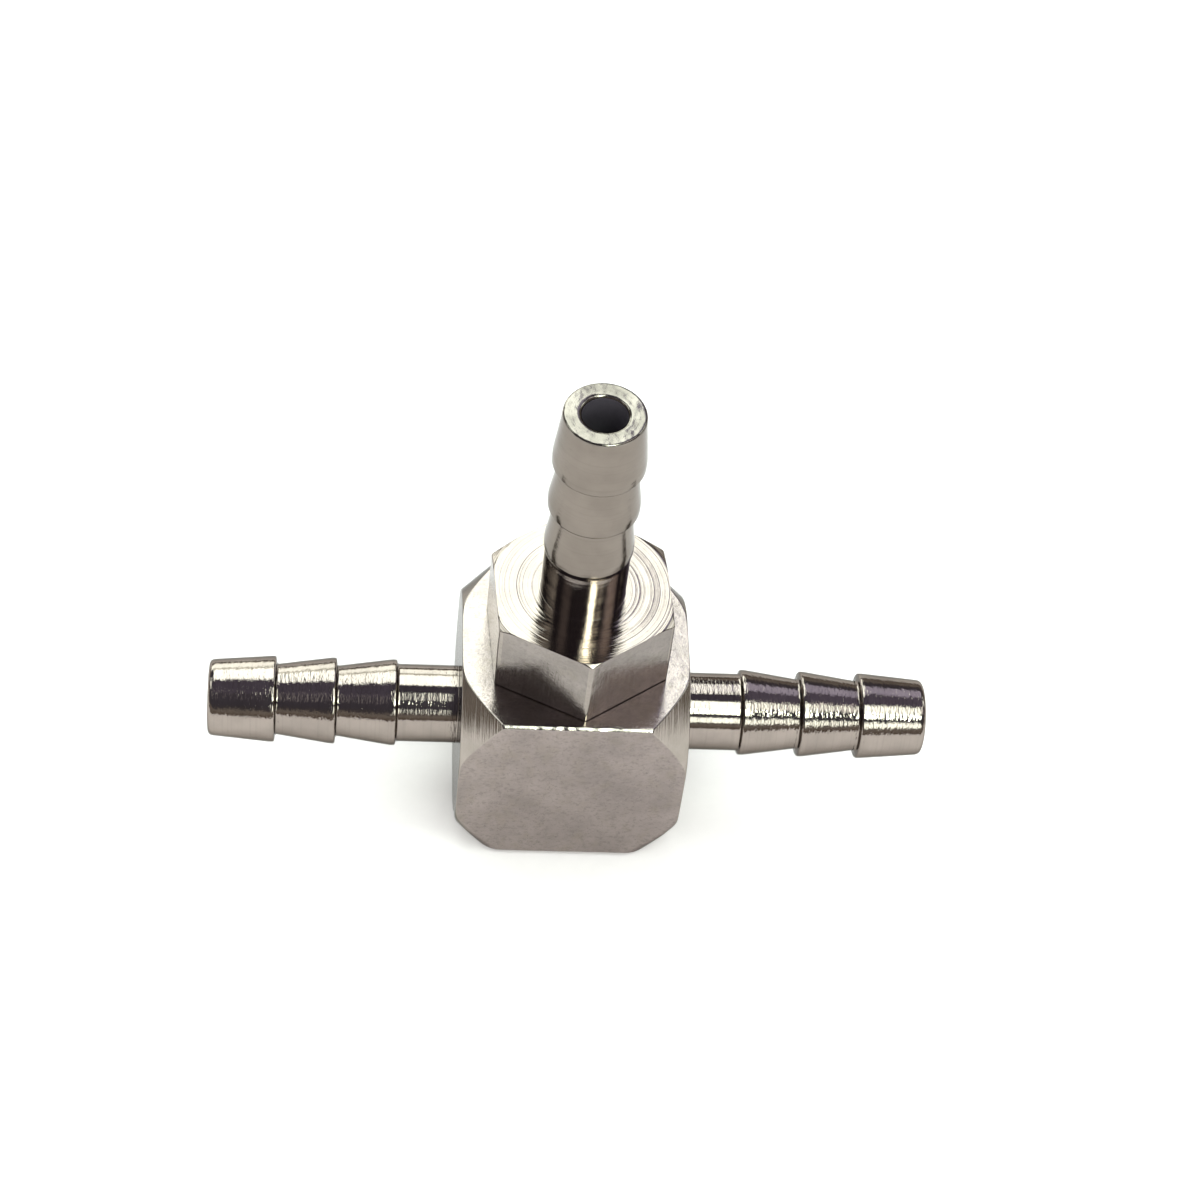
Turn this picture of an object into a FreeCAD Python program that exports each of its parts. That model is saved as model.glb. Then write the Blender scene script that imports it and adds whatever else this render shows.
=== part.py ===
import FreeCAD, Part
import math
import os

import Sketcher

# Barbed tee connector: a square run body with a hose barb at each end, and a hexagon-headed
# branch stem that screws into a tapped port on top of it and is sealed by an O-ring.
# Millimetres. +X is along the run, +Z up the branch, origin where the two axes cross.

# Driving dimensions: alias, value, what it is.
SIZES = [
    ("run_length", 42.6, "tip to tip of the two side barbs"),
    ("block_length", 13.2, "square part of the run body, along the run"),
    ("block_width", 12.7, "square bar, across flats"),
    ("block_edge_round", 0.2, "edge break on the four long edges"),
    ("end_face_radius", 6.85, "where the turned cone meets the end face"),
    ("end_cone_angle", 49, "turned cone at each end, from the run axis' normal plane"),
    ("bore_radius", 1.25, "waterway of the run and of the branch"),
    ("bore_mouth_round", 0.25, "rounding of the waterway's mouth at each barb's tip"),
    ("barb_land", 0.2, "cylindrical land at the crest of a barb"),
    ("leg_tip_round", 0.3, "side barbs: outer rounding of the tip"),
    ("leg_tip_radius", 2.24, "side barbs: radius at the tip"),
    ("leg_root_radius", 2.08, "side barbs: radius in front of a shoulder"),
    ("leg_crest_radius", 2.55, "side barbs: radius over the crests"),
    ("leg_shank_radius", 2.3, "side barbs: radius at the block"),
    ("leg_first_crest", 3.93, "side barbs: tip to the first crest"),
    ("leg_barb_pitch", 3.56, "side barbs: crest to crest"),
    ("stem_length", 14.7, "top of the hexagon to the tip"),
    ("stem_tip_round", 0.12, "upright barb: outer rounding of the tip"),
    ("stem_tip_radius", 2.27, "upright barb: radius at the tip"),
    ("stem_root_radius", 2.12, "upright barb: radius in front of a shoulder"),
    ("stem_crest_radius", 2.6, "upright barb: radius over the crests"),
    ("stem_shank_radius", 2.37, "upright barb: radius at the hexagon"),
    ("stem_first_crest", 3.8, "upright barb: tip to the first crest"),
    ("stem_barb_pitch", 3.5, "upright barb: crest to crest"),
    ("hex_across_flats", 10, "wrench size"),
    ("hex_height", 5.05, "underside to top of the hexagon"),
    ("hex_clocking", 4, "turn of the tightened hexagon off square, degrees"),
    ("hex_face_radius", 5.3, "flat circle left on the hexagon's top"),
    ("hex_corner_angle", 30, "bevel of the hexagon's top corners"),
    ("thread_pitch", 0.75, "M6 x 0.75"),
    ("thread_pitch_radius", 2.756, "half the pitch diameter"),
    ("thread_clearance", 0.02, "axial play of one flank from the basic profile"),
    ("spigot_length", 3.75, "underside of the hexagon to the end of the spigot"),
    ("spigot_crest_radius", 2.95, "outside of the external thread"),
    ("spigot_groove_radius", 2.5, "bottom of the external thread"),
    ("spigot_end_chamfer", 0.4, "lead-in at the end of the spigot"),
    ("neck_radius", 2.3, "relief under the hexagon, inside the seal"),
    ("neck_length", 1, "length of the relief"),
    ("port_radius", 2.6, "tapping drill, and crest of the internal thread"),
    ("port_groove_radius", 3.04, "bottom of the internal thread"),
    ("port_depth", 4.5, "full-diameter depth of the tapping drill"),
    ("drill_half_angle", 59, "half of the tapping drill's point angle"),
    ("recess_radius", 3.45, "seal recess at the mouth of the port"),
    ("recess_depth", 0.8, "depth of the seal recess"),
    ("seal_inner_radius", 2.36, "seal ring, inside"),
    ("seal_outer_radius", 3.4, "seal ring, outside"),
    ("seal_corner_round", 0.3, "rounding of the squeezed ring's section"),
]

VALUES = {alias: value for alias, value, note in SIZES}

BARBS = 3
FIRST_CORNER = 30
FLANK_SLOPE = math.tan(math.radians(30))
THREAD_OVERCUT = 0.03

# How close a position (mm) or a direction must be to count as the same, and the least cut (mm3).
SAME_PLACE = 1e-4
SAME_DIRECTION = 1e-6
LEAST_CUT = 1e-3

CUTS = ("PartDesign::Groove", "PartDesign::Pocket", "PartDesign::SubtractiveHelix")

# Sketcher's numbers for the points of a line or circle, and for the sketch's own origin and axes.
START, END, CENTRE = 1, 2, 3
ORIGIN, H_AXIS, V_AXIS = -1, -1, -2


def size(name):
    """Expression that reads one driving dimension."""
    return "Sizes." + name


def add_sizes(doc):
    sheet = doc.addObject("Spreadsheet::Sheet", "Sizes")
    for row, (alias, value, note) in enumerate(SIZES, start=1):
        sheet.set(f"A{row}", str(value))
        sheet.setAlias(f"A{row}", alias)
        sheet.set(f"B{row}", note)
    doc.recompute()
    return sheet


def new_body(doc, name):
    body = doc.addObject("PartDesign::Body", name)
    body.Label = name
    return body


def new_sketch(body, name, role):
    """Empty sketch on one of the body's own origin planes."""
    sketch = body.newObject("Sketcher::SketchObject", name)
    plane = [item for item in body.Origin.OriginFeatures if item.Role == role][0]
    sketch.AttachmentSupport = [(plane, "")]
    sketch.MapMode = "FlatFace"
    return sketch


def place_point(sketch, line, position, label, expression, distance, axis):
    """Tie one coordinate of a line's start point to an expression, or to the axis when it is 0.

    A leading minus measures the distance to the other side of the origin.
    """
    if expression == "0":
        sketch.addConstraint(Sketcher.Constraint("PointOnObject", line, START, axis))
        return
    away = (line, START, ORIGIN, START) if expression.startswith("-") else (ORIGIN, START, line, START)
    index = sketch.addConstraint(Sketcher.Constraint(distance, *away, abs(position)))
    sketch.renameConstraint(index, label)
    sketch.setExpression("Constraints." + label, expression.lstrip("-"))


def outline_sketch(body, name, role, points):
    """Closed outline through points, each a pair of expressions for its coordinates."""
    sketch = new_sketch(body, name, role)
    count = len(points)
    signs = [tuple(-1 if text.startswith("-") else 1 for text in point) for point in points]
    rough = [FreeCAD.Vector(signs[i][0] * (i + 2), signs[i][1] * (2 + i % 2 + i * i / count), 0)
             for i in range(count)]
    for i in range(count):
        sketch.addGeometry(Part.LineSegment(rough[i], rough[(i + 1) % count]))
    for i in range(count):
        sketch.addConstraint(Sketcher.Constraint("Coincident", i, END, (i + 1) % count, START))
    for i, (across, up) in enumerate(points):
        place_point(sketch, i, rough[i].x, f"across{i}", across, "DistanceX", V_AXIS)
        place_point(sketch, i, rough[i].y, f"up{i}", up, "DistanceY", H_AXIS)
    return sketch


def circle_sketch(body, name, role, radius):
    sketch = new_sketch(body, name, role)
    circle = sketch.addGeometry(Part.Circle(FreeCAD.Vector(), FreeCAD.Vector(0, 0, 1), 1))
    sketch.addConstraint(Sketcher.Constraint("Coincident", circle, CENTRE, ORIGIN, START))
    index = sketch.addConstraint(Sketcher.Constraint("Radius", circle, 1))
    sketch.renameConstraint(index, "radius")
    sketch.setExpression("Constraints.radius", radius)
    return sketch


def square_sketch(body, name, role, width):
    half = f"({width}) / 2"
    corners = [(half, half), ("-" + half, half), ("-" + half, "-" + half), (half, "-" + half)]
    return outline_sketch(body, name, role, corners)


def hexagon_sketch(body, name, role, across_flats, turn):
    """Regular hexagon about the origin: six corners on a guide circle, the first one turned."""
    sketch = new_sketch(body, name, role)
    turns = [math.radians(60 * i + FIRST_CORNER) for i in range(6)]
    corners = [FreeCAD.Vector(math.cos(turn_angle), math.sin(turn_angle), 0) for turn_angle in turns]
    for i in range(6):
        sketch.addGeometry(Part.LineSegment(corners[i], corners[(i + 1) % 6]))
    circle = sketch.addGeometry(Part.Circle(FreeCAD.Vector(), FreeCAD.Vector(0, 0, 1), 1), True)
    spoke = sketch.addGeometry(Part.LineSegment(FreeCAD.Vector(), corners[0]), True)
    sketch.addConstraint(Sketcher.Constraint("Coincident", circle, CENTRE, ORIGIN, START))
    sketch.addConstraint(Sketcher.Constraint("Coincident", spoke, START, ORIGIN, START))
    sketch.addConstraint(Sketcher.Constraint("Coincident", spoke, END, 0, START))
    for i in range(6):
        sketch.addConstraint(Sketcher.Constraint("Coincident", i, END, (i + 1) % 6, START))
        sketch.addConstraint(Sketcher.Constraint("PointOnObject", i, START, circle))
    for i in range(1, 6):
        sketch.addConstraint(Sketcher.Constraint("Equal", 0, i))
    radius = sketch.addConstraint(Sketcher.Constraint("Radius", circle, 1))
    sketch.renameConstraint(radius, "corner_radius")
    sketch.setExpression("Constraints.corner_radius", f"{across_flats} / sqrt(3)")
    angle = sketch.addConstraint(Sketcher.Constraint("Angle", spoke, turns[0]))
    sketch.renameConstraint(angle, "turn")
    sketch.setExpression("Constraints.turn", f"({FIRST_CORNER} + {turn}) * 1 deg")
    return sketch


def extrude(body, name, sketch, length=None, both_ways=False, **settings):
    """Pad to a bound length, or Pocket through everything when no length is given."""
    feature = body.newObject("PartDesign::Pad" if length else "PartDesign::Pocket", name)
    feature.Profile = sketch
    if both_ways:
        feature.SideType = "Symmetric"
    for key, value in settings.items():
        setattr(feature, key, value)
    if length:
        feature.setExpression("Length", length)
    else:
        feature.Type = "ThroughAll"
    return feature


def turned(body, name, kind, sketch, axis):
    """Revolution or Groove of a full turn about a sketch axis."""
    feature = body.newObject("PartDesign::" + kind, name)
    feature.Profile = sketch
    feature.ReferenceAxis = (sketch, [axis])
    feature.Angle = 360
    return feature


def mirrored(body, name, originals, role):
    feature = body.newObject("PartDesign::Mirrored", name)
    feature.Originals = originals
    plane = [item for item in body.Origin.OriginFeatures if item.Role == role][0]
    feature.MirrorPlane = (plane, [""])
    body.Tip = feature
    return feature


def edge_names(shape, wanted):
    """Names of the edges for which wanted(edge) is true."""
    return [f"Edge{i}" for i, edge in enumerate(shape.Edges, start=1) if wanted(edge)]


def is_circle_at(edge, axis, distance, radius):
    """True for a full circle about an axis ("x" or "z"), at a distance along it from the origin."""
    if not isinstance(edge.Curve, Part.Circle):
        return False
    centre = edge.Curve.Center
    along = getattr(centre, axis)
    on_axis = abs(centre.Length - abs(along)) < SAME_PLACE
    at_distance = abs(abs(along) - distance) < SAME_PLACE
    return on_axis and at_distance and abs(edge.Curve.Radius - radius) < SAME_PLACE


def is_straight_along_x(edge):
    if not isinstance(edge.Curve, (Part.Line, Part.LineSegment)):
        return False
    return abs(abs(edge.tangentAt(edge.FirstParameter).x) - 1) < SAME_DIRECTION


def is_tip_circle(axis, distance, radius):
    """Test that picks the circle of the named radius at a tip, distance along the axis."""
    return lambda edge: is_circle_at(edge, axis, distance, VALUES[radius])


def round_edges(doc, body, name, wanted, radius):
    """Fillet of the edges of the body's last feature that wanted() picks."""
    doc.recompute()
    base = body.Tip
    names = edge_names(base.Shape, wanted)
    if not names:
        raise RuntimeError(f"{name}: no edge found")
    feature = body.newObject("PartDesign::Fillet", name)
    feature.Base = (base, names)
    feature.setExpression("Radius", radius)
    return feature


def barb_points(foot, tip, prefix):
    """Outline of a hose barb, as (distance along the axis, radius) expressions, foot to tip.

    Each barb has a flat shoulder towards the foot, a short land, and a taper towards the tip.
    """
    root = size(prefix + "_root_radius")
    crest = size(prefix + "_crest_radius")
    points = [(foot, "0"), (foot, size(prefix + "_shank_radius"))]
    for barb in reversed(range(BARBS)):
        shoulder = f"{tip} - {size(prefix + '_first_crest')} - {barb} * {size(prefix + '_barb_pitch')}"
        points.append((shoulder, root))
        points.append((shoulder, crest))
        points.append((f"{shoulder} + {size('barb_land')}", crest))
    points.append((tip, size(prefix + "_tip_radius")))
    points.append((tip, "0"))
    return points


def thread_groove_points(inner, outer, middle, groove_sign):
    """Section of the helical groove of one thread: half widths follow the 30 degree flanks.

    groove_sign is 1 where the groove widens outwards (external) and -1 where it narrows (internal).
    """
    def half_width(radius):
        widening = f"({radius} - {size('thread_pitch_radius')}) * {FLANK_SLOPE:.6f}"
        return f"{size('thread_pitch')} / 4 + {groove_sign} * {widening} + {size('thread_clearance')}"

    return [(inner, f"{middle} - ({half_width(inner)})"), (outer, f"{middle} - ({half_width(outer)})"),
            (outer, f"{middle} + ({half_width(outer)})"), (inner, f"{middle} + ({half_width(inner)})")]


def helical_cut(body, name, sketch, height):
    feature = body.newObject("PartDesign::SubtractiveHelix", name)
    feature.Profile = sketch
    feature.ReferenceAxis = (sketch, ["V_Axis"])
    feature.Mode = "pitch-height-angle"
    feature.HasBeenEdited = True
    feature.setExpression("Pitch", size("thread_pitch"))
    feature.setExpression("Height", height)
    return feature


def make_run_body(doc):
    body = new_body(doc, "run_body")
    block_end = f"{size('block_length')} / 2"
    block_top = f"{size('block_width')} / 2"
    tip = f"{size('run_length')} / 2"

    bar = square_sketch(body, "BarSection", "YZ_Plane", size("block_width"))
    extrude(body, "SquareBar", bar, length=size("block_length"), both_ways=True)
    round_edges(doc, body, "BarEdges", is_straight_along_x, size("block_edge_round"))

    outside = size("block_width")
    cone_rise = f"({outside} - {size('end_face_radius')})"
    cone_foot = f"{block_end} - {cone_rise} * tan({size('end_cone_angle')} * 1 deg)"
    cone = outline_sketch(body, "EndConeOutline", "XZ_Plane", [
        (block_end, size("end_face_radius")), (block_end, outside), (cone_foot, outside)])
    cone_cut = turned(body, "EndCone", "Groove", cone, "H_Axis")

    barb = outline_sketch(body, "SideBarbOutline", "XZ_Plane", barb_points(block_end, tip, "leg"))
    side_barb = turned(body, "SideBarb", "Revolution", barb, "H_Axis")
    mirrored(body, "OtherEnd", [cone_cut, side_barb], "YZ_Plane")
    reach = VALUES["run_length"] / 2
    round_edges(doc, body, "TipRounds", is_tip_circle("x", reach, "leg_tip_radius"),
                size("leg_tip_round"))

    bore = circle_sketch(body, "RunBoreCircle", "YZ_Plane", size("bore_radius"))
    extrude(body, "RunBore", bore, both_ways=True)
    round_edges(doc, body, "RunBoreMouths", is_tip_circle("x", reach, "bore_radius"),
                size("bore_mouth_round"))

    recess_floor = f"{block_top} - {size('recess_depth')}"
    port_floor = f"{block_top} - {size('port_depth')}"
    drill_point = f"{port_floor} - {size('port_radius')} / tan({size('drill_half_angle')} * 1 deg)"
    port = outline_sketch(body, "PortOutline", "XZ_Plane", [
        ("0", drill_point), (size("port_radius"), port_floor), (size("port_radius"), recess_floor),
        (size("recess_radius"), recess_floor), (size("recess_radius"), block_top), ("0", block_top)])
    turned(body, "Port", "Groove", port, "V_Axis")

    start = f"{block_top} - {size('spigot_length')} - {size('thread_pitch')}"
    groove = outline_sketch(body, "PortThreadGroove", "YZ_Plane", thread_groove_points(
        f"{size('port_radius')} - {THREAD_OVERCUT}", size("port_groove_radius"), start, -1))
    helical_cut(body, "PortThread", groove, f"{size('spigot_length')} + 2 * {size('thread_pitch')}")
    return body


def make_branch_stem(doc):
    """The stem's own origin is one thread pitch below the end of the spigot."""
    body = new_body(doc, "branch_stem")
    spigot_end = size("thread_pitch")
    seat = f"{spigot_end} + {size('spigot_length')}"
    hex_top = f"{seat} + {size('hex_height')}"
    tip = f"{hex_top} + {size('stem_length')}"

    hexagon = hexagon_sketch(body, "HexagonSection", "XY_Plane",
                             size("hex_across_flats"), size("hex_clocking"))
    hexagon.setExpression("AttachmentOffset.Base.z", seat)
    extrude(body, "Hexagon", hexagon, length=size("hex_height"))

    outside = size("hex_across_flats")
    bevel_width = f"({outside} - {size('hex_face_radius')})"
    bevel_foot = f"{hex_top} - {bevel_width} * tan({size('hex_corner_angle')} * 1 deg)"
    bevel = outline_sketch(body, "HexagonBevelOutline", "XZ_Plane", [
        (size("hex_face_radius"), hex_top), (outside, bevel_foot), (outside, hex_top)])
    turned(body, "HexagonBevel", "Groove", bevel, "V_Axis")

    points = [(radius, height) for height, radius in barb_points(hex_top, tip, "stem")]
    barb = outline_sketch(body, "UprightBarbOutline", "XZ_Plane", points)
    turned(body, "UprightBarb", "Revolution", barb, "V_Axis")

    chamfer = size("spigot_end_chamfer")
    crest = size("spigot_crest_radius")
    spigot = outline_sketch(body, "SpigotOutline", "XZ_Plane", [
        ("0", spigot_end), (f"{crest} - {chamfer}", spigot_end), (crest, f"{spigot_end} + {chamfer}"),
        (crest, f"{seat} - {size('neck_length')}"), (size("neck_radius"), f"{seat} - {size('neck_length')}"),
        (size("neck_radius"), seat), ("0", seat)])
    turned(body, "Spigot", "Revolution", spigot, "V_Axis")

    bore = circle_sketch(body, "BranchBoreCircle", "XY_Plane", size("bore_radius"))
    extrude(body, "BranchBore", bore, Reversed=True)
    reach = sum(VALUES[name] for name in ("thread_pitch", "spigot_length", "hex_height", "stem_length"))
    round_edges(doc, body, "BranchBoreMouth", is_tip_circle("z", reach, "bore_radius"),
                size("bore_mouth_round"))
    round_edges(doc, body, "StemTipRound", is_tip_circle("z", reach, "stem_tip_radius"),
                size("stem_tip_round"))

    groove = outline_sketch(body, "SpigotThreadGroove", "YZ_Plane", thread_groove_points(
        size("spigot_groove_radius"), f"{crest} + {THREAD_OVERCUT}", f"{size('thread_pitch')} / 2", 1))
    helical_cut(body, "SpigotThread", groove, f"{seat} - {size('neck_length')} / 2")
    block_top = f"{size('block_width')} / 2"
    body.setExpression("Placement.Base.z", f"{block_top} - {size('spigot_length')} - {size('thread_pitch')}")
    return body


def make_seal_ring(doc):
    """O-ring as it lies when tightened: squeezed between the recess floor and the hexagon."""
    body = new_body(doc, "seal_ring")
    inner, outer, height = size("seal_inner_radius"), size("seal_outer_radius"), size("recess_depth")
    section = outline_sketch(body, "SealSection", "XZ_Plane", [
        (inner, "0"), (outer, "0"), (outer, height), (inner, height)])
    turned(body, "Seal", "Revolution", section, "V_Axis")
    round_edges(doc, body, "SealRounds", lambda edge: isinstance(edge.Curve, Part.Circle),
                size("seal_corner_round"))
    body.setExpression("Placement.Base.z", f"{size('block_width')} / 2 - {height}")
    return body


def check_cuts(body):
    """Each Groove, Pocket and helical cut must take material away."""
    for feature in body.Group:
        if feature.TypeId not in CUTS:
            continue
        if feature.Shape.Volume >= feature.BaseFeature.Shape.Volume - LEAST_CUT:
            raise RuntimeError(f"{body.Label}: {feature.Name} cuts nothing")


def check_document(doc, bodies):
    for item in doc.Objects:
        if {"Invalid", "Error"} & set(item.State):
            raise RuntimeError(f"{item.Name} failed: {item.State}")
    for body in bodies:
        if body.Shape.isNull() or not body.Shape.isValid() or len(body.Shape.Solids) != 1:
            raise RuntimeError(f"{body.Label} is not one valid solid")
        check_cuts(body)


def main():
    doc = FreeCAD.newDocument("BarbedTee")
    add_sizes(doc)
    bodies = [make_run_body(doc), make_branch_stem(doc), make_seal_ring(doc)]
    doc.recompute()
    check_document(doc, bodies)
    os.makedirs("parts", exist_ok=True)
    for body in bodies:
        body.Shape.exportStep(f"parts/{body.Label}.step")
        box = body.Shape.BoundBox
        print(f"{body.Label}: {body.Shape.Volume:.2f} mm3, z {box.ZMin:.3f} to {box.ZMax:.3f},"
              f" {box.XLength:.3f} x {box.YLength:.3f} x {box.ZLength:.3f}")


main()
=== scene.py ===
import math

import bpy
import numpy as np
from mathutils import Matrix, Vector, noise


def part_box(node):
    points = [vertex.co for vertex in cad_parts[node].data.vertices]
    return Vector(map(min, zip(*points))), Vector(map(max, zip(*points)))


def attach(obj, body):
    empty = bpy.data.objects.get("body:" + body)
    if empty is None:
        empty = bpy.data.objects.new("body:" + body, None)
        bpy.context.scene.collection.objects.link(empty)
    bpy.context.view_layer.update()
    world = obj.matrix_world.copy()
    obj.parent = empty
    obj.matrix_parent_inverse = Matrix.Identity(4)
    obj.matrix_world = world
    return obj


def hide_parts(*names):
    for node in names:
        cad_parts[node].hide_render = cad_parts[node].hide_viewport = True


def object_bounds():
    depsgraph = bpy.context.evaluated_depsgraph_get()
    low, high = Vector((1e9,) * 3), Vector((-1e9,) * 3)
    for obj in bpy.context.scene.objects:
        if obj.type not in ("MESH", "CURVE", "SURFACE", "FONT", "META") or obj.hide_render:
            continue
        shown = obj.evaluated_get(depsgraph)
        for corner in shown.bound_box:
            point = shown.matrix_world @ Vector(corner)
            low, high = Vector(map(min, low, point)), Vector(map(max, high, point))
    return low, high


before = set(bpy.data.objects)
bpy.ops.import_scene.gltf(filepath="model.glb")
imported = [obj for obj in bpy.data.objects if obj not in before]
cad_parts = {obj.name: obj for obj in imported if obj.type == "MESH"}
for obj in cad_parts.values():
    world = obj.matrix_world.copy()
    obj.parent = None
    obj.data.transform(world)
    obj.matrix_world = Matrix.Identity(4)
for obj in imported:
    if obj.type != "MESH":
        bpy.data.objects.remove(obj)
cad_low, cad_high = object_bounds()

MM = 0.001

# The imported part's boxes give where each piece is. Lengths below are in millimetres.
_, run_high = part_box("run_body")
stem_low, stem_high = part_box("branch_stem")
seal_low, seal_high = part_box("seal_ring")
RUN_TIP = run_high.x / MM
BAR_HALF = run_high.z / MM
STEM_TIP = stem_high.z / MM
SEAT = seal_high.z / MM
SPIGOT_END = stem_low.z / MM
RECESS_FLOOR = seal_low.z / MM
SEAL_OUTER = seal_high.x / MM

# The rest are sizes that a box doesn't give. First the square body and its turned end cones.
BLOCK_HALF = 6.6
BAR_ROUND = 0.2
CONE_RADIUS = 6.85
CONE_SLOPE = math.tan(math.radians(49))
CONE_SOFT = 0.2
CONE_REACH = 2.6        # how far a cone comes along the bar's upper edges
EDGE = 0.07             # rounding of turned and bevelled edges
FOOT_EDGE = 0.3         # rounding of the cones' edges on the body's lower half
CORNER_WEAR = 0.8       # the same at its lower corners
CORNER_START, CORNER_SPAN = 7.6, 0.8        # outline radius where that sets in, and its growth
WORN_TOP, WORN_SIDE = 0.21, 0.11            # facet worn on the upper edges: across, and down
WORN_FOOT = 0.42                            # facet on the lower edges, both ways
WORN_LEAST = 0.002                          # wear that counts as a worn edge
DENT_DEPTH, DENT_GRAIN = 0.03, 2.1

# Barbs: radii, then tip to first crest, crest to crest and the length of a crest. The others
# soften the outline: round at the tip, soft in the roots and behind a crest, lip on its front
# edge, lean for a shoulder's slope, and foot where the barb starts.
LEG = {"tip": 2.24, "root": 2.08, "crests": (2.55, 2.55, 2.55), "shank": 2.3,
       "first": 3.93, "pitch": 3.56, "land": 0.3,
       "round": 0.34, "soft": 0.13, "lip": 0.13, "lean": 0.06, "foot": 0.05}
STEM = {"tip": 2.27, "root": 2.18, "crests": (2.6, 2.58, 2.53), "shank": 2.43,
        "first": 3.8, "pitch": 3.5, "land": 0.5,
        "round": 0.14, "soft": 0.25, "lip": 0.07, "lean": 0.3, "foot": 0.02}
BORE = 1.25
MOUTH_ROUND = 0.42

# Hexagon.
HEX_FLAT = 5.0
HEX_HEIGHT = 5.05
HEX_TOP = SEAT + HEX_HEIGHT
HEX_MIDDLE = SEAT + 2.5
HEX_TURN = 4            # degrees off the body's sides
HEX_ROUND = 0.2
HEX_FACE = 5.3          # radius of the turned top face
HEX_BEVEL = math.tan(math.radians(30))
BEVEL_SOFT = 0.12
HEX_OFF_CENTRE = 0.2
HEX_FOOT_ROUND = 0.11
HEX_CORNER = 5.45       # radius beyond which the corners are dented
HEX_DENT_DEPTH, HEX_DENT_GRAIN = 0.02, 1.3

# Threaded spigot, port and seal.
NECK = 2.3
NECK_LENGTH = 1.0
NECK_EDGE = 2.6
SPIGOT_CHAMFER = 0.4
PITCH = 0.75
PITCH_RADIUS = 2.756
PLAY = 0.02
THREAD_OUT = (2.5, 2.95)
THREAD_IN = (2.6, 3.04)
THREAD_STEP = PITCH / 16
FLANK = math.tan(math.radians(30))
PORT_FLOOR = BAR_HALF - 4.5
DRILL_SLOPE = 1 / math.tan(math.radians(59))
DRILL_POINT = 0.05
RECESS = 3.45
SEAL_INNER = 2.36
SEAL_ROUND = 0.3

# How near the middle of a face must be to a surface to get its material.
FINE, CLOSE, NEAR, WIDE = 0.01, 0.02, 0.05, 0.1
TIP_BAND, CORNER_BAND = 0.12, 0.12

# Spacing of the meshes' rings and points.
CIRCLE = np.linspace(0, 2 * math.pi, 181)[:-1]
CORNER_STEPS = 3
CROWDED = np.array([0.03, 0.09, 0.15, 0.21, 0.27, 0.33, 0.4, 0.5])     # in from a corner's end
CURVE_RINGS = 6
MOST_CUT = 0.42         # a rounding takes at most this share of the shorter line beside it
GUARD = 1.15            # guard rings sit this much further out than the rounding
EVEN_RINGS = BLOCK_HALF - 4                 # the bar's rings are evenly spaced as far as this
ROOM = 0.6                                  # even rings stay this clear of a rounded corner
FACE_RING = 4.0                             # rings that keep the flat faces flat
HEX_FACE_RINGS = (4.2, 3.2)
BORE_RINGS = (0.97, 0.93, 0.85, 0.75, 0.5, 0.25, 0.0)                  # as shares of RUN_TIP


# ---------------------------------------------------------------- outlines and meshes

def corner_points(count, flat, rounding, turn, per_side):
    """Angles and radii round a regular polygon with rounded corners, flats at a distance."""
    half_angle = math.pi / count
    apothem = flat - rounding
    centre_radius = apothem / math.cos(half_angle)
    reach = apothem * math.tan(half_angle)
    near = reach - CROWDED
    points = []
    for side in range(count):
        corner = turn + side * 2 * half_angle
        centre = centre_radius * np.array([math.cos(corner), math.sin(corner)])
        for step in range(2 * CORNER_STEPS + 1):
            angle = corner + half_angle * (step / CORNER_STEPS - 1)
            points.append(centre + rounding * np.array([math.cos(angle), math.sin(angle)]))
        out = corner + half_angle
        normal = np.array([math.cos(out), math.sin(out)])
        along = np.array([-math.sin(out), math.cos(out)])
        for offset in (*-near, *np.linspace(-near[-1], near[-1], per_side)[1:-1], *reversed(near)):
            points.append(flat * normal + along * offset)
    points = np.array(points)
    angles = np.unwrap(np.arctan2(points[:, 1], points[:, 0]))
    return angles, np.hypot(points[:, 0], points[:, 1])


def trimmed(outline, limit, soft):
    """How far a turned slope cuts into an outline beyond a radius, fading out softly inside it."""
    beyond = outline - limit
    return (beyond + np.hypot(beyond, soft)) / 2


def file_corner(outline, angles, side, top, out, up):
    """Take a bar's corner down to a straight slope that starts out and up millimetres from it."""
    length = math.hypot(out, up)
    across, along = side * up / length, top * out / length
    reach = BAR_HALF * (up + out) / length - out * up / length
    facing = np.cos(angles) * across + np.sin(angles) * along
    least = 0.3
    return np.where(facing > least, np.minimum(outline, reach / np.maximum(facing, least)), outline)


def meridian(corners, angles):
    """Meridian rings from corners (along, radius, rounding), each a number or one per angle.

    Every rounded corner gets a curve and a guard ring on each side, so flats stay flat.
    """
    count = len(angles)
    line = np.array([[np.broadcast_to(np.asarray(value, float), count) for value in corner]
                     for corner in corners])
    place, rounding = line[:, :2], line[:, 2]
    rings = []
    for i in range(len(line)):
        if i in (0, len(line) - 1) or not rounding[i].any():
            rings.append(place[i])
            continue
        back, on = place[i - 1] - place[i], place[i + 1] - place[i]
        back_length, on_length = np.hypot(*back) + 1e-9, np.hypot(*on) + 1e-9
        back, on = back / back_length, on / on_length
        cut = np.minimum(rounding[i], MOST_CUT * np.minimum(back_length, on_length))
        rings.append(place[i] + back * cut * GUARD)
        for t in np.linspace(0, 1, CURVE_RINGS):
            rings.append(place[i] + back * cut * (1 - t) ** 2 + on * cut * t ** 2)
        rings.append(place[i] + on * cut * GUARD)
    return rings


def last_shoulder(tip, sizes):
    """Height of the barb shoulder that is furthest from the tip."""
    return tip - sizes["first"] - 2 * sizes["pitch"]


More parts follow.
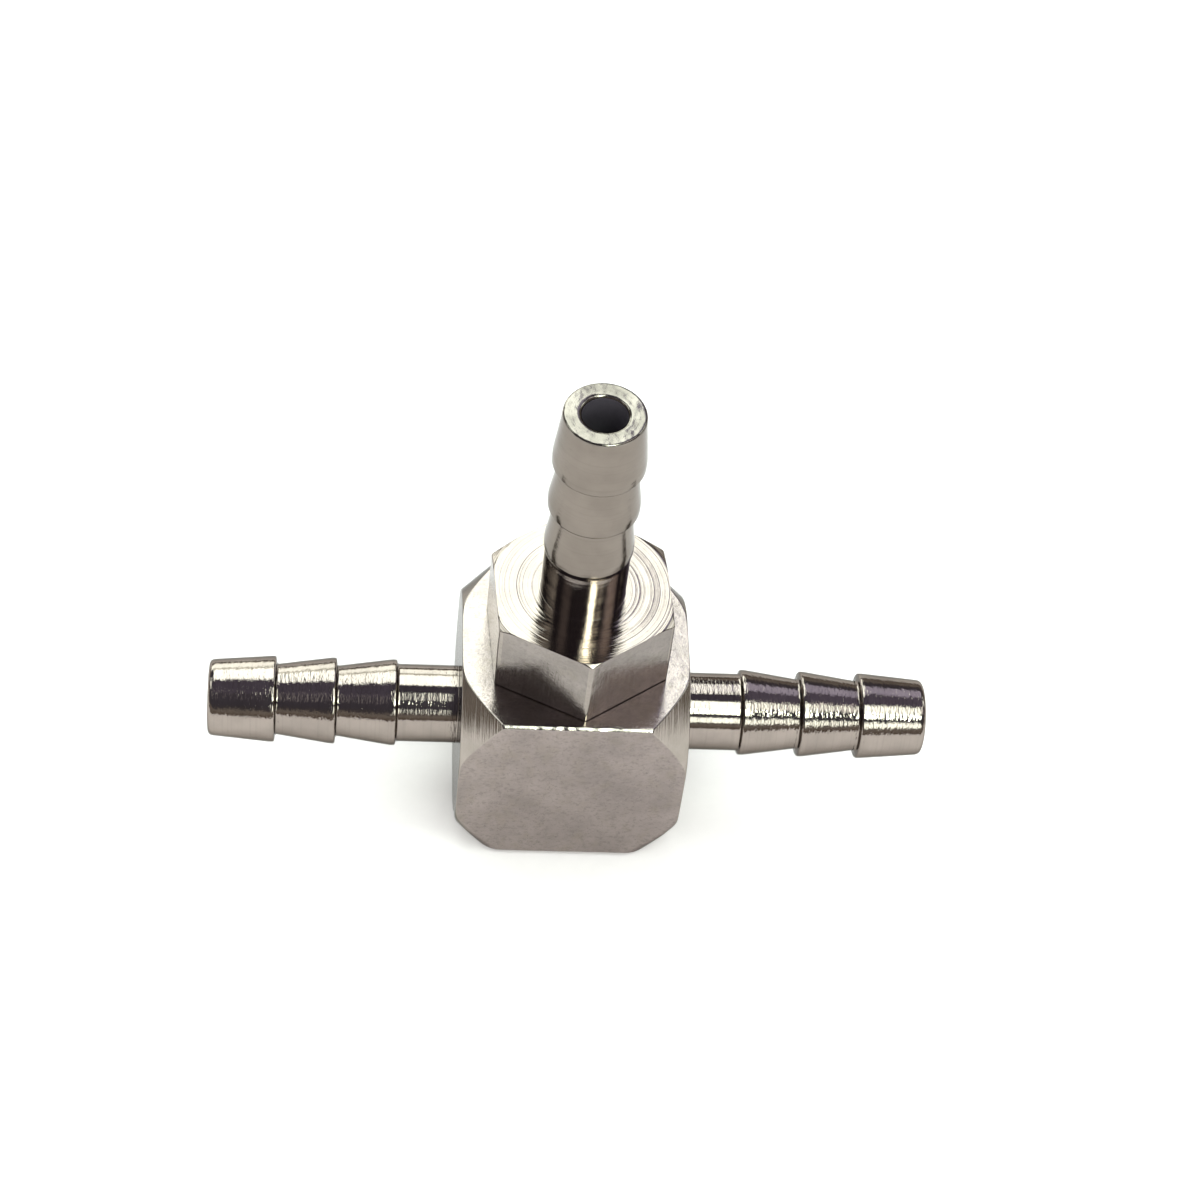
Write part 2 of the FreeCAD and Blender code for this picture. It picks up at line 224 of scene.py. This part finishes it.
def barb_corners(foot, tip, sizes):
    """Corners of one hose barb from its foot to the inside of its bore."""
    corners = [(foot, sizes["shank"], sizes["foot"])]
    for barb, crest in reversed(list(enumerate(sizes["crests"]))):
        shoulder = tip - sizes["first"] - barb * sizes["pitch"]
        root = sizes["root"] if len(corners) > 1 else sizes["shank"]
        corners.append((shoulder - sizes["lean"], root, sizes["soft"]))
        corners.append((shoulder, crest, sizes["lip"]))
        corners.append((shoulder + sizes["land"], crest, sizes["soft"]))
    corners.append((tip, sizes["tip"], sizes["round"]))
    corners.append((tip, BORE, MOUTH_ROUND))
    return corners


def thread_radius(angles, height, middle, inner, outer, sign):
    """Radius of a right-hand thread at a height; middle is a groove's height on the +Y side."""
    offset = height - middle - PITCH * (angles - math.pi / 2) / (2 * math.pi)
    offset = np.abs((offset / PITCH + 0.5) % 1 - 0.5) * PITCH
    return np.clip(PITCH_RADIUS + sign * (offset - PITCH / 4 - PLAY) / FLANK, inner, outer)


def ring_mesh(name, rings, angles, along_x, closed, materials, paint):
    """Mesh through rings of (along, radius) at each angle; closed joins the last ring to the first.

    paint(along, radius, j) picks the material of the face at a place and an angle number.
    """
    along = np.array([ring[0] for ring in rings])
    radius = np.array([ring[1] for ring in rings])
    across, up = radius * np.cos(angles), radius * np.sin(angles)
    # about X the angle runs from Y to Z, and about Z from X to Y
    points = np.stack((along, across, up) if along_x else (across, up, along), axis=-1)
    vertices = [tuple(point) for point in points.reshape(-1, 3) * MM]
    ring_count, count = along.shape
    faces, painted = [], []
    for i in range(ring_count if closed else ring_count - 1):
        onward = (i + 1) % ring_count
        here, there = i * count, onward * count
        for j in range(count):
            k = (j + 1) % count
            faces.append((here + j, here + k, there + k, there + j))
            painted.append(paint((along[i, j] + along[onward, j]) / 2,
                                 (radius[i, j] + radius[onward, j]) / 2, j))
    if not closed:
        faces.append(tuple(reversed(range(count))))
        faces.append(tuple(range((ring_count - 1) * count, ring_count * count)))
        painted += [paint(along[0, 0], 0, 0), paint(along[-1, 0], 0, 0)]
    mesh = bpy.data.meshes.new(name)
    mesh.from_pydata(vertices, [], faces)
    for material in materials:
        mesh.materials.append(material)
    mesh.polygons.foreach_set("material_index", [materials.index(material) for material in painted])
    piece = bpy.data.objects.new(name, mesh)
    bpy.context.collection.objects.link(piece)
    return piece


def face_outwards(piece):
    """Turn all faces to point out of the solid."""
    mesh = piece.data
    points = np.array([vertex.co for vertex in mesh.vertices])
    volume = 0.0
    for face in mesh.polygons:
        ids = face.vertices
        for i in range(1, len(ids) - 1):
            volume += np.dot(points[ids[0]], np.cross(points[ids[i]], points[ids[i + 1]]))
    if volume < 0:
        mesh.flip_normals()


def smooth(piece, sharp=38):
    """Shade smooth, except at edges sharper than an angle in degrees."""
    mesh = piece.data
    mesh.polygons.foreach_set("use_smooth", [True] * len(mesh.polygons))
    mesh.set_sharp_from_angle(angle=math.radians(sharp))
    mesh.update()


def wear_edges(piece, chosen, depth, grain):
    """Small uneven dents at the vertices that chosen(place) accepts, always inwards."""
    mesh = piece.data
    normals = [vertex.normal.copy() for vertex in mesh.vertices]
    for vertex, normal in zip(mesh.vertices, normals):
        if chosen(vertex.co / MM):
            spot = vertex.co / MM * grain
            dent = max(0.0, noise.noise(spot) + 0.5 * noise.noise(spot * 2.7) + 0.1)
            vertex.co -= normal * depth * dent * MM


# ---------------------------------------------------------------- materials

def darker(colour, share):
    return tuple(share * value for value in colour)


def set_stops(ramp, stops):
    """Give a colour ramp its stops, each a position with a grey value or a colour."""
    marks = ramp.elements
    while len(marks) < len(stops):
        marks.new(0.5)
    for mark, (position, colour) in zip(marks, stops):
        mark.position = position
        mark.color = (*colour, 1) if isinstance(colour, tuple) else (colour,) * 3 + (1,)


class Shader:
    """Short way to build a material's nodes; sockets are given by name or number."""

    def __init__(self, name):
        self.material = bpy.data.materials.new(name)
        self.material.use_nodes = True
        self.tree = self.material.node_tree
        self.tree.nodes.clear()

    def add(self, kind, inputs=None, out=0, **settings):
        node = self.tree.nodes.new("ShaderNode" + kind)
        for key, value in settings.items():
            setattr(node, key, value)
        for key, value in (inputs or {}).items():
            if isinstance(value, bpy.types.NodeSocket):
                self.tree.links.new(value, node.inputs[key])
            else:
                node.inputs[key].default_value = value
        return node.outputs[out] if len(node.outputs) else node

    def math(self, operation, *values):
        return self.add("Math", dict(enumerate(values)), operation=operation)

    def place(self, scale=(1, 1, 1)):
        """Object coordinates in millimetres, stretched by scale along each axis."""
        spot = self.add("TexCoord", out="Object")
        return self.add("VectorMath", {0: spot, 1: [factor / MM for factor in scale]},
                        operation="MULTIPLY")

    def turning(self, axis):
        """One coordinate in millimetres that runs across a lathe's marks, for an axis X or Z."""
        x, y, z = self.add("SeparateXYZ", {0: self.place()}).node.outputs
        along, sides = (x, (y, z)) if axis == "X" else (z, (x, y))
        squares = [self.math("MULTIPLY", side, side) for side in sides]
        radius = self.math("SQRT", self.math("ADD", *squares))
        if axis == "X":
            along = self.math("ABSOLUTE", along)
        return self.math("SUBTRACT", along, radius)

    def noise(self, vector, scale, detail=2, rough=0.5, distortion=0):
        return self.add("TexNoise", {"Vector": vector, "Scale": scale, "Detail": detail,
                                     "Roughness": rough, "Distortion": distortion})

    def line_noise(self, value, scale, detail=2, rough=0.6):
        inputs = {"W": value, "Scale": scale, "Detail": detail, "Roughness": rough}
        return self.add("TexNoise", inputs, noise_dimensions="1D")

    def mix(self, share, first, second):
        """Colour between two, by share."""
        inputs = {0: share, 6: (*first, 1) if isinstance(first, tuple) else first, 7: (*second, 1)}
        return self.add("Mix", inputs, data_type="RGBA").node.outputs[2]

    def stain(self, tone, mask, start, full, share, colour):
        """Lay a colour over a tone where a mask rises from start to full, at most by share."""
        node = self.add("ValToRGB", {0: mask}).node
        set_stops(node.color_ramp, [(start, 0.0), (full, share)])
        return self.mix(node.outputs[0], tone, colour)

    def patches(self, mask, bright, dull):
        """Broad patches of two colours."""
        node = self.add("ValToRGB", {0: mask}).node
        set_stops(node.color_ramp, [(0.35, 0.0), (0.65, 1.0)])
        return self.mix(node.outputs[0], bright, dull)

    def roughness(self, rough, first, share, second):
        """Roughness between two limits, from two noises mixed by share."""
        blend = self.math("ADD", self.math("MULTIPLY", first, share),
                          self.math("MULTIPLY", second, 1 - share))
        return self.add("MapRange", {"Value": blend, "From Min": 0.35, "From Max": 0.65,
                                     "To Min": rough[0], "To Max": rough[1]})

    def bump(self, height, microns, normal=None):
        inputs = {"Height": height, "Distance": microns * 1e-6, "Strength": 1.0}
        if normal is not None:
            inputs["Normal"] = normal
        return self.add("Bump", inputs)

    def finish(self, colour, rough, normal, metallic=1.0, rim=1.0):
        """Close the material; rim is how much of the shine is left where a surface turns away,
        painted shade that darkens the silhouettes.
        """
        surface = self.add("BsdfPrincipled", {
            "Base Color": colour, "Roughness": rough, "Normal": normal, "Metallic": metallic,
            # rim below 1 darkens grazing reflections: painted shade along the silhouettes
            "Specular Tint": (rim, rim, rim, 1)})
        self.add("OutputMaterial", {"Surface": surface})
        return self.material


def plated(name, axis, bright, dull, rough, rings, chatter, grooves, grain_depth, marks, rim=0.35):
    """Nickel plate over turned metal: lathe rings with painted shade in their hollows, tool
    chatter, grain, stains and dark specks.

    rings and chatter are (bumps per millimetre, depth in microns); grooves and grain_depth are
    depths in microns; marks is how strong the dark specks are.
    """
    s = Shader(name)
    across = s.turning(axis)
    spot = s.place()
    rippled_spot = s.place((4.5, 1.5, 1.5) if axis == "X" else (1.0, 1.0, 2.2))
    fine_rings = s.line_noise(across, rings[0])
    broad_rings = s.line_noise(across, rings[0] * 0.28, detail=1)
    fine_grooves = s.line_noise(across, 21, detail=1)
    rippled = s.noise(rippled_spot, chatter[0], rough=0.55)
    grain = s.noise(spot, 16, detail=3, rough=0.6)
    specks = s.noise(spot, 8, detail=4, rough=0.7)
    tone = s.patches(s.noise(spot, 0.6, detail=3, rough=0.55), bright, dull)
    # the ramp falls here, so each ring's hollow gets painted shade, a darker colour in the groove
    hollow_shade = s.add("ValToRGB", {0: fine_rings}).node
    set_stops(hollow_shade.color_ramp, [(0.3, 0.14), (0.45, 0.0)])
    tone = s.mix(hollow_shade.outputs[0], tone, darker(dull, 0.6))
    tone = s.stain(tone, specks, 0.66, 0.74, marks, darker(dull, 0.4))
    height = s.math("ADD", fine_rings, s.math("MULTIPLY", broad_rings, 1.6))
    normal = s.bump(height, rings[1])
    normal = s.bump(fine_grooves, grooves, normal)
    normal = s.bump(rippled, chatter[1], normal)
    normal = s.bump(grain, grain_depth, normal)
    return s.finish(tone, s.roughness(rough, fine_rings, 0.5, grain), normal, rim=rim)


def drawn(name, bright, dull, rough, stretch, depth, line_depth, marks, rim=0.35):
    """Nickel plate over drawn bar: faint lengthwise lines, pebbled grain, olive and mauve stains.

    stretch shapes the lines; depth and line_depth are in microns; marks is how strong the dark
    specks are.
    """
    s = Shader(name)
    spot = s.place()
    lines = s.noise(s.place(stretch), 1.0, detail=3, rough=0.6)
    waves = s.noise(spot, 1.1)
    grain = s.noise(spot, 7, detail=4, rough=0.65)
    fine = s.noise(spot, 24, rough=0.6)
    olive = s.noise(s.place((1.3, 1.1, 0.9)), 0.7, detail=5, rough=0.7)
    specks = s.noise(spot, 7, detail=4, rough=0.75)
    dots = s.noise(s.place((0.8, 1.0, 1.0)), 4.2, detail=6, rough=0.85)
    tone = s.patches(s.noise(spot, 0.4, detail=4, rough=0.6), bright, dull)
    tone = s.stain(tone, dots, 0.505, 0.6, 0.6, darker(dull, 0.72))
    tone = s.stain(tone, olive, 0.5, 0.72, 0.35, (*darker(dull[:2], 0.88), 0.72 * dull[2]))
    tone = s.stain(tone, specks, 0.62, 0.7, marks, darker(dull, 0.5))
    normal = s.bump(waves, depth * 2.5)
    normal = s.bump(lines, line_depth, normal)
    normal = s.bump(grain, depth, normal)
    normal = s.bump(fine, depth * 0.3, normal)
    return s.finish(tone, s.roughness(rough, lines, 0.4, grain), normal, rim=rim)


def shaded_bore(name):
    """Inside of a drilled bore: near-black painted shade down the hole, with spiral drill marks."""
    s = Shader(name)
    spot = s.place()
    haze = s.noise(spot, 1.5, detail=3, rough=0.6)
    scores = s.noise(spot, 6, detail=3, rough=0.6, distortion=1.5)
    # near-black tone: painted shade inside the bore
    tone = s.mix(haze, (0.05, 0.047, 0.06), (0.075, 0.068, 0.082))
    roughness = s.add("MapRange", {"Value": scores, "To Min": 0.5, "To Max": 0.8})
    return s.finish(tone, roughness, s.bump(scores, 12), metallic=0.25)


def rubber(name):
    """Moulded nitrile: near black, dusty, finely pitted."""
    s = Shader(name)
    spot = s.place()
    dust = s.noise(spot, 3, detail=4, rough=0.6)
    pits = s.noise(spot, 26, detail=3, rough=0.6)
    tone = s.stain((0.018, 0.018, 0.019), dust, 0.45, 0.8, 0.6, (0.06, 0.06, 0.062))
    roughness = s.add("MapRange", {"Value": dust, "To Min": 0.42, "To Max": 0.68})
    return s.finish(tone, roughness, s.bump(pits, 6), metallic=0.0)


def paper(name):
    """Matt white sweep: barely visible tooth."""
    s = Shader(name)
    tooth = s.noise(s.place(), 1.5, detail=3, rough=0.6)
    tone = s.mix(tooth, (0.86, 0.86, 0.86), (0.9, 0.9, 0.9))
    return s.finish(tone, 0.9, s.bump(tooth, 8), metallic=0.0)


BRIGHT = (0.312, 0.27, 0.243)
DULL = (0.27, 0.234, 0.211)
bar_face = drawn(
    "nickel_bar", (0.336, 0.291, 0.273), (0.266, 0.231, 0.218), rough=(0.1, 0.18),
    stretch=(0.4, 9, 9), depth=6, line_depth=4, marks=0.9)
worn_edge = drawn(
    "nickel_worn_edge", (0.47, 0.43, 0.38), (0.42, 0.38, 0.34), rough=(0.07, 0.13),
    stretch=(3.5, 3.5, 3.5), depth=1.5, line_depth=4, marks=0.2)
turned_end = plated(
    "nickel_turned_end", "X", (0.36, 0.32, 0.29), (0.30, 0.27, 0.24), rough=(0.1, 0.2),
    rings=(7, 7), chatter=(0.9, 6), grooves=1.0, grain_depth=1.2, marks=0.6)
leg_skin = plated(
    "nickel_leg", "X", BRIGHT, DULL, rough=(0.05, 0.1),
    rings=(4.5, 3), chatter=(1.5, 22), grooves=1.2, grain_depth=2.6, marks=0.6)
leg_shank_skin = plated(
    "nickel_leg_shank", "X", BRIGHT, DULL, rough=(0.05, 0.1),
    rings=(4.5, 2), chatter=(1.6, 9), grooves=1.0, grain_depth=1.8, marks=0.5)
hex_side = drawn(
    "nickel_hexagon", (0.29, 0.26, 0.243), (0.235, 0.21, 0.195), rough=(0.13, 0.24),
    stretch=(9, 9, 0.5), depth=6, line_depth=9, marks=0.6, rim=1.0)
hex_corner = drawn(
    "nickel_hexagon_corner", (0.36, 0.32, 0.29), (0.31, 0.28, 0.255), rough=(0.13, 0.22),
    stretch=(9, 9, 0.5), depth=4, line_depth=2, marks=0.5, rim=0.8)
hex_face = plated(
    "nickel_hexagon_face", "Z", BRIGHT, DULL, rough=(0.04, 0.09),
    rings=(6.5, 10), chatter=(0.9, 10), grooves=1.0, grain_depth=1.6, marks=0.5)
# painted shade: the upper barbs get a darker copy of the plate than the shank and legs, and a
# dimmer rim, as if the floor they mirror were greyer
stem_shaded_skin = plated(
    "nickel_barb_shaded", "Z", (0.215, 0.186, 0.163), (0.19, 0.164, 0.143), rough=(0.08, 0.15),
    rings=(4.5, 4), chatter=(1.2, 8), grooves=3.0, grain_depth=1.4, marks=0.6, rim=0.75)
stem_shank_skin = plated(
    "nickel_shank", "Z", BRIGHT, DULL, rough=(0.05, 0.1),
    rings=(4.5, 3), chatter=(1.2, 5), grooves=2.2, grain_depth=1.4, marks=0.4)
tip_skin = plated(
    "nickel_tip", "Z", (0.26, 0.235, 0.208), (0.15, 0.136, 0.12), rough=(0.07, 0.16),
    rings=(4, 4), chatter=(0.8, 95), grooves=1.0, grain_depth=4.0, marks=0.8)
thread_skin = plated(
    "nickel_thread", "Z", DULL, (0.26, 0.23, 0.2), rough=(0.12, 0.2),
    rings=(9, 2), chatter=(1.5, 3), grooves=1.0, grain_depth=1.0, marks=0.4)
bore_shade_skin = shaded_bore("nickel_bore_shaded")
seal_skin = rubber("nitrile_rubber")
floor_skin = paper("white_paper")


# ---------------------------------------------------------------- run body

def cut_port(piece):
    """Cut the drilled, tapped and counterbored port into the top of the bar."""
    ones = np.ones_like(CIRCLE)
    drill_end = PORT_FLOOR - (THREAD_IN[0] - DRILL_POINT) * DRILL_SLOPE
    rings = [np.stack((ones * drill_end, ones * DRILL_POINT)),
             np.stack((ones * PORT_FLOOR, ones * THREAD_IN[0]))]
    for height in np.arange(PORT_FLOOR + 0.2, RECESS_FLOOR, THREAD_STEP):
        radius = thread_radius(CIRCLE, height, PORT_FLOOR, *THREAD_IN, -1)
        rings.append(np.stack((ones * height, radius)))
    rings += [np.stack((ones * RECESS_FLOOR, ones * THREAD_IN[1])),
              np.stack((ones * RECESS_FLOOR, ones * RECESS)),
              np.stack((ones * (BAR_HALF + 1), ones * RECESS))]
    cutter = ring_mesh("port_cutter", rings, CIRCLE, False, False, list(piece.data.materials),
                       lambda along, radius, j: turned_end)
    face_outwards(cutter)
    cut = piece.modifiers.new("port", "BOOLEAN")
    cut.operation = "DIFFERENCE"
    cut.solver = "EXACT"
    cut.object = cutter
    ready = piece.evaluated_get(bpy.context.evaluated_depsgraph_get())
    mesh = bpy.data.meshes.new_from_object(ready)
    piece.modifiers.remove(cut)
    piece.data = mesh
    bpy.data.objects.remove(cutter)


def make_run_body():
    """Square bar with both ends turned, a barb at each end, the bore and the tapped port."""
    angles, full = corner_points(4, BAR_HALF, BAR_ROUND, math.pi / 4, 49)
    outline = full
    for side in (-1, 1):
        outline = file_corner(outline, angles, side, 1, WORN_TOP, WORN_SIDE)
        outline = file_corner(outline, angles, side, -1, WORN_FOOT, WORN_FOOT)
    worn = (outline < full - WORN_LEAST) & (np.sin(angles) > 0)
    trim = trimmed(outline, CONE_RADIUS, CONE_SOFT)
    slope_start = BLOCK_HALF - trim * CONE_SLOPE
    below = np.sin(angles) < 0
    corner_wear = np.clip((outline - CORNER_START) / CORNER_SPAN, 0, 1)
    edge = np.where(below, FOOT_EDGE, EDGE)
    edge = edge + (CORNER_WEAR - FOOT_EDGE) * below * corner_wear
    corners = [(EVEN_RINGS * step, outline, 0) for step in np.linspace(0, 1, 17)]
    corners += [(slope_start, outline, edge), (BLOCK_HALF, outline - trim, edge)]
    corners += [(BLOCK_HALF, FACE_RING, 0)]
    corners += barb_corners(BLOCK_HALF, RUN_TIP, LEG)
    corners += [(RUN_TIP * share, BORE, 0) for share in BORE_RINGS]
    half = meridian(corners, angles)
    other = [np.stack((-ring[0], ring[1])) for ring in half[1:-1]]
    rings = half + list(reversed(other))
    barb_start = last_shoulder(RUN_TIP, LEG) - WIDE

    def paint(along, radius, j):
        along = abs(along)
        if radius < BORE + CLOSE:
            return bore_shade_skin
        if along > BLOCK_HALF + FINE:
            return leg_skin if along > barb_start else leg_shank_skin
        if along > slope_start[j] - CLOSE or radius < BAR_HALF - WIDE:
            return turned_end
        return worn_edge if worn[j] else bar_face

    piece = ring_mesh("run_body_nickel", rings, angles, True, True,
                      [bar_face, turned_end, leg_skin, bore_shade_skin, worn_edge, leg_shank_skin], paint)
    face_outwards(piece)
    cut_port(piece)

    def on_edge(spot):
        margin = 0.3
        on_bar = abs(spot.x) < BLOCK_HALF - CONE_REACH
        return on_bar and abs(spot.y) > BAR_HALF - margin and spot.z > BAR_HALF - margin

    wear_edges(piece, on_edge, DENT_DEPTH, DENT_GRAIN)
    smooth(piece)
    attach(piece, "run")
    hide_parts("run_body")


# ---------------------------------------------------------------- branch stem

def make_branch_stem():
    """Hexagon with the upright barb above it and the threaded spigot below, bored through."""
    angles, outline = corner_points(6, HEX_FLAT, HEX_ROUND, math.radians(30 + HEX_TURN), 41)
    face_edge = HEX_FACE - HEX_OFF_CENTRE * np.sin(angles)
    trim = trimmed(outline, face_edge, BEVEL_SOFT)
    bevel = HEX_TOP - trim * HEX_BEVEL
    ones = np.ones_like(angles)
    corners = [(height, outline, 0) for height in np.linspace(HEX_MIDDLE, HEX_TOP - ROOM, 9)]
    corners += [(bevel, outline, EDGE), (HEX_TOP, outline - trim, EDGE)]
    corners += [(HEX_TOP, radius, 0) for radius in HEX_FACE_RINGS]
    corners += barb_corners(HEX_TOP, STEM_TIP, STEM)
    corners += [(height, BORE, 0) for height in np.linspace(STEM_TIP - ROOM, SPIGOT_END + 1, 12)]
    corners += [(SPIGOT_END, BORE, 0.03), (SPIGOT_END, THREAD_OUT[1] - SPIGOT_CHAMFER, 0)]
    upper = meridian(corners, angles)
    threads = []
    thread_top = SEAT - NECK_LENGTH
    for height in np.arange(SPIGOT_END + 0.02, thread_top, THREAD_STEP):
        limit = np.minimum(THREAD_OUT[1], THREAD_OUT[1] - SPIGOT_CHAMFER + height - SPIGOT_END)
        radius = thread_radius(angles, height, SPIGOT_END - PITCH / 2, *THREAD_OUT, 1)
        threads.append(np.stack((ones * height, np.minimum(limit, radius))))
    lower = [(thread_top, NECK_EDGE, 0), (thread_top, NECK, 0.05), (SEAT, NECK, 0.05),
             (SEAT, HEX_FLAT - ROOM, 0), (SEAT, outline, HEX_FOOT_ROUND)]
    lower += [(height, outline, 0) for height in np.linspace(SEAT + 0.4, HEX_MIDDLE, 5)[:-1]]
    rings = upper + threads + meridian(lower, angles)
    corner = outline > HEX_FLAT / math.cos(math.pi / 6) - CORNER_BAND
    barb_start = last_shoulder(STEM_TIP, STEM) - WIDE

    def paint(along, radius, j):
        if radius < BORE + CLOSE:
            return bore_shade_skin
        if along < SEAT - CLOSE:
            return thread_skin
        if radius > HEX_FLAT - NEAR and along < bevel[j] - CLOSE:
            return hex_corner if corner[j] else hex_side
        if along < HEX_TOP - 1:
            return hex_side
        if along < HEX_TOP + FINE:
            return hex_face
        if along < barb_start:
            return stem_shank_skin
        return tip_skin if along > STEM_TIP - TIP_BAND else stem_shaded_skin

    piece = ring_mesh("branch_stem_nickel", rings, angles, False, True,
                      [hex_side, hex_face, stem_shaded_skin, thread_skin, hex_corner, bore_shade_skin, tip_skin,
                       stem_shank_skin], paint)
    face_outwards(piece)

    def on_edge(spot):
        return math.hypot(spot.x, spot.y) > HEX_CORNER and SEAT + 0.1 < spot.z < HEX_TOP - 0.3

    wear_edges(piece, on_edge, HEX_DENT_DEPTH, HEX_DENT_GRAIN)
    smooth(piece)
    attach(piece, "stem")
    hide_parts("branch_stem")


# ---------------------------------------------------------------- seal ring

def make_seal_ring():
    """Squeezed O-ring with its moulding line round the outside."""
    flash, gap = 0.03, 0.04
    outer = SEAL_OUTER - flash
    middle = (RECESS_FLOOR + SEAT) / 2
    corners = [(middle, SEAL_OUTER, 0), (middle + gap, outer, 0), (SEAT, outer, SEAL_ROUND),
               (SEAT, SEAL_INNER, SEAL_ROUND), (RECESS_FLOOR, SEAL_INNER, SEAL_ROUND),
               (RECESS_FLOOR, outer, SEAL_ROUND), (middle - gap, outer, 0)]
    piece = ring_mesh("seal_ring_rubber", meridian(corners, CIRCLE), CIRCLE, False, True,
                      [seal_skin], lambda along, radius, j: seal_skin)
    face_outwards(piece)
    smooth(piece)
    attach(piece, "seal")
    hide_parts("seal_ring")


# ---------------------------------------------------------------- studio

def direction(azimuth, elevation):
    """Unit vector to a place round the object; azimuth 0 is the front (-Y) and 90 is +X."""
    turn, rise = math.radians(azimuth), math.radians(elevation)
    flat = math.cos(rise)
    return Vector((math.sin(turn) * flat, -math.cos(turn) * flat, math.sin(rise)))


def card(name, turns, sides, radiance, colour, distance=0.6, glossy=True, diffuse=True):
    """Soft rectangular light facing the object.

    turns are its lower and upper edge, as angles round the run: 0 front, 90 overhead, 180 behind.
    sides are its left and right edge, as sines of the angle away from straight ahead.
    """
    middle = math.radians(sum(turns) / 2)
    left, right = (distance * side / math.sqrt(1 - side * side) for side in sides)
    light = bpy.data.lights.new(name, "AREA")
    light.shape = "RECTANGLE"
    light.size = right - left
    light.size_y = 2 * distance * math.tan(math.radians(turns[1] - turns[0]) / 2)
    light.energy = radiance * math.pi * light.size * light.size_y
    light.color = colour
    lamp = bpy.data.objects.new(name, light)
    out = Vector((0, -math.cos(middle), math.sin(middle)))
    lamp.location = out * distance + Vector(((left + right) / 2, 0, 0.004))
    lamp.rotation_mode = "QUATERNION"
    across = Vector((1, 0, 0))
    lamp.rotation_quaternion = Matrix((across, out.cross(across), out)).transposed().to_quaternion()
    lamp.visible_glossy = glossy
    lamp.visible_diffuse = diffuse
    bpy.context.collection.objects.link(lamp)


def make_lights():
    """Cards that the metal mirrors, and two washes that only light the floor and dull surfaces."""
    white, cream, lilac = (0.91, 1.0, 0.93), (0.9, 1.0, 0.9), (0.80, 0.78, 1.0)
    warm, purple = (1.0, 0.97, 0.94), (0.78, 0.66, 1.0)
    card("back_softbox", (107, 144), (-0.33, 0.135), 4.7, white)
    card("back_softbox_end", (117, 143), (0.135, 0.5), 0.95, lilac)
    card("back_gap", (144, 152), (-0.33, 0.09), 1.5, (0.95, 1.0, 0.85))
    card("back_low_card", (152, 172), (-0.6, 0.08), 3.8, white)
    card("front_card", (60.5, 83), (0.052, 0.43), 5.0, cream)
    card("front_card_foot", (46, 60), (0.15, 0.31), 42.0, (0.86, 1.0, 0.84), diffuse=False)
    card("front_low_card", (19, 34), (0.065, 0.48), 4.6, cream)
    card("right_fill", (88, 116), (0.24, 0.6), 0.13, purple)
    card("left_haze", (66, 106), (-0.36, -0.1), 0.07, purple)
    card("left_side_card", (82, 122), (-0.85, -0.635), 2.6, white)
    card("right_side_card", (102, 132), (0.68, 0.86), 2.8, white)
    card("left_side_fill", (48, 74), (-0.55, -0.38), 0.4, warm)
    card("right_side_fill", (66, 92), (0.53, 0.68), 2.3, warm)
    card("overhead_wash", (25, 155), (-0.8, 0.8), 0.72, warm, distance=0.5, glossy=False)
    card("front_wash", (12, 60), (-0.8, 0.8), 1.4, (1.0, 0.965, 0.945), distance=0.8, glossy=False)


def make_world():
    """Dim room that the metal mirrors between the cards, as bands by height."""
    world = bpy.data.worlds.new("studio")
    bpy.context.scene.world = world
    world.use_nodes = True
    tree = world.node_tree
    tree.nodes.clear()
    spot = tree.nodes.new("ShaderNodeTexCoord")
    parts = tree.nodes.new("ShaderNodeSeparateXYZ")
    ramp = tree.nodes.new("ShaderNodeValToRGB")
    sky = tree.nodes.new("ShaderNodeBackground")
    out = tree.nodes.new("ShaderNodeOutputWorld")
    tree.links.new(spot.outputs["Generated"], parts.inputs[0])
    tree.links.new(parts.outputs[2], ramp.inputs[0])
    tree.links.new(ramp.outputs[0], sky.inputs[0])
    tree.links.new(sky.outputs[0], out.inputs[0])
    set_stops(ramp.color_ramp, [
        (0.0, (0.25, 0.21, 0.17)), (0.1, (0.26, 0.22, 0.18)), (0.17, (0.40, 0.36, 0.32)),
        (0.27, (0.34, 0.31, 0.28)), (0.36, (0.12, 0.11, 0.115)), (0.5, (0.11, 0.105, 0.13)),
        (1.0, (0.12, 0.115, 0.15))])


def make_floor():
    """White sheet under the body."""
    half, rise = 3.0, cad_low.z
    corners = [(-half, -half, rise), (half, -half, rise), (half, half, rise), (-half, half, rise)]
    mesh = bpy.data.meshes.new("floor")
    mesh.from_pydata(corners, [], [(0, 1, 2, 3)])
    mesh.materials.append(floor_skin)
    floor = bpy.data.objects.new("floor", mesh)
    bpy.context.collection.objects.link(floor)


def make_camera():
    """Camera high in front, turned a little to the left and rolled."""
    azimuth, elevation, roll = -7.62, 50.93, math.radians(7.76)
    target, distance = Vector((1.055, 0, 10.311)) * MM, 174.36 * MM
    back = direction(azimuth, elevation)
    side = (-back).cross(Vector((0, 0, 1))).normalized()
    up = side.cross(-back).normalized()
    right = side * math.cos(roll) + up * math.sin(roll)
    top = up * math.cos(roll) - side * math.sin(roll)
    data = bpy.data.cameras.new("camera")
    data.sensor_width = 36
    data.lens = 91.57
    data.clip_start, data.clip_end = 0.01, 20
    camera = bpy.data.objects.new("camera", data)
    bpy.context.collection.objects.link(camera)
    camera.matrix_world = Matrix((
        (right.x, top.x, back.x, target.x + back.x * distance),
        (right.y, top.y, back.y, target.y + back.y * distance),
        (right.z, top.z, back.z, target.z + back.z * distance),
        (0, 0, 0, 1)))
    bpy.context.scene.camera = camera


make_run_body()
make_branch_stem()
make_seal_ring()
make_floor()
make_world()
make_lights()
make_camera()
bpy.context.scene.view_settings.view_transform = "Standard"
